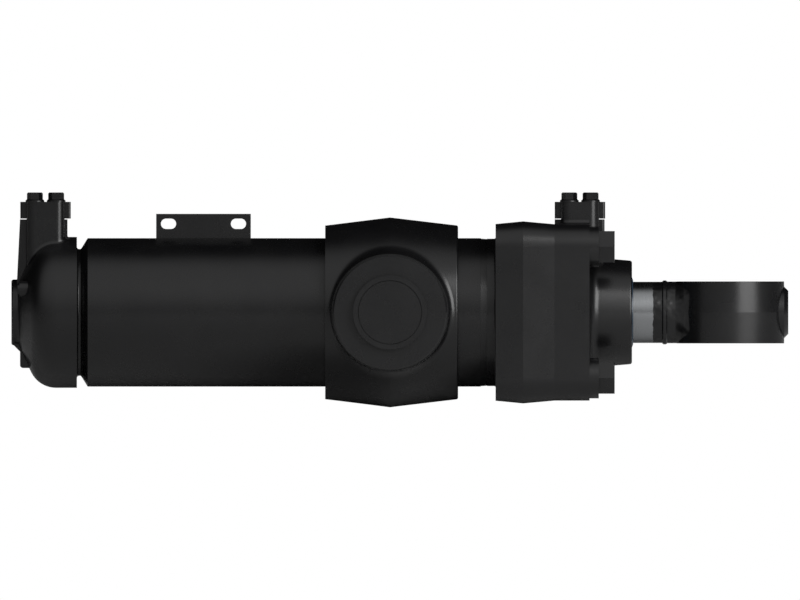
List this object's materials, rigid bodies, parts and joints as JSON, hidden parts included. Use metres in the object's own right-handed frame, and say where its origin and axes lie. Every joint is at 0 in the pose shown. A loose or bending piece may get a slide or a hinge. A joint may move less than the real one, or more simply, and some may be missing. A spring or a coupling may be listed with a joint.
{
  "type": "hydraulic cylinder",
  "caption": "Double acting hydraulic cylinder with a trunnion band, square bolted gland, flanged ports and a forged rod eye with a spherical bearing.",
  "frame": {"origin": "where the trunnion axis meets the cylinder axis", "axes": "+X along the cylinder towards the rod eye, +Y along the trunnion axis, +Z towards the ports"},
  "size_m": [1.0154, 0.42, 0.2809],
  "materials": {
    "black_paint": "satin black enamel over cast, forged and drawn steel",
    "hard_chrome": "ground and polished hard chrome",
    "black_oxide": "black oxide spring steel",
    "machined_steel": "fine turned steel",
    "bearing_steel": "ground bearing steel",
    "nitrile_rubber": "moulded nitrile rubber",
    "polyurethane": "moulded polyurethane",
    "bronze_ptfe": "bronze filled slide ring material",
    "guide_fabric": "resin bonded fabric"
  },
  "bodies": {
    "cylinder": {"barrel": "black_paint", "cap_weld": "black_paint", "head_weld": "black_paint", "cap_end": "black_paint", "cap_bleed_plug": "black_paint", "trunnion_band": "black_paint", "trunnion_plug_near": "black_paint", "trunnion_plug_far": "black_paint", "hose_bracket": "black_paint", "head_flange": "black_paint", "gland": "black_paint", "gland_bolts": "black_paint", "gland_o_ring": "nitrile_rubber", "gland_backup_ring": "bronze_ptfe", "rod_guide_inner": "guide_fabric", "rod_guide_outer": "guide_fabric", "buffer_seal": "bronze_ptfe", "rod_seal": "polyurethane", "rod_wiper": "polyurethane", "cap_port_cover": "black_paint", "cap_port_o_ring": "nitrile_rubber", "cap_port_bolts": "black_paint", "head_port_cover": "black_paint", "head_port_o_ring": "nitrile_rubber", "head_port_bolts": "black_paint"},
    "piston_seals": {"piston_seal": "bronze_ptfe", "piston_energiser": "nitrile_rubber", "piston_wear_ring_rear": "guide_fabric", "piston_wear_ring_front": "guide_fabric"},
    "rod": {"rod": "hard_chrome", "piston": "machined_steel", "piston_nut": "machined_steel", "nut_set_screw": "machined_steel", "piston_o_ring": "nitrile_rubber", "rod_eye": "black_paint", "eye_weld_flash": "black_paint", "bearing_outer_race": "bearing_steel", "circlip_upper": "black_oxide", "circlip_lower": "black_oxide", "dust_seal_upper": "nitrile_rubber", "dust_seal_lower": "nitrile_rubber", "eye_grease_plug": "machined_steel"},
    "ball": {"bearing_inner_ring": "bearing_steel"}
  },
  "joints": [
    {"name": "rod_slide", "type": "slide", "parent": "cylinder", "child": "piston_seals", "axis": [1, 0, 0], "range_m": [0, 0.45]},
    {"name": "rod_spin", "type": "hinge", "parent": "piston_seals", "child": "rod", "pos_m": [0, 0, 0], "axis": [1, 0, 0], "continuous": true},
    {"name": "ball_tilt", "type": "hinge", "parent": "rod", "child": "ball", "pos_m": [0.445, 0, 0], "axis": [0, 1, 0], "range_deg": [-6, 6]}
  ]
}
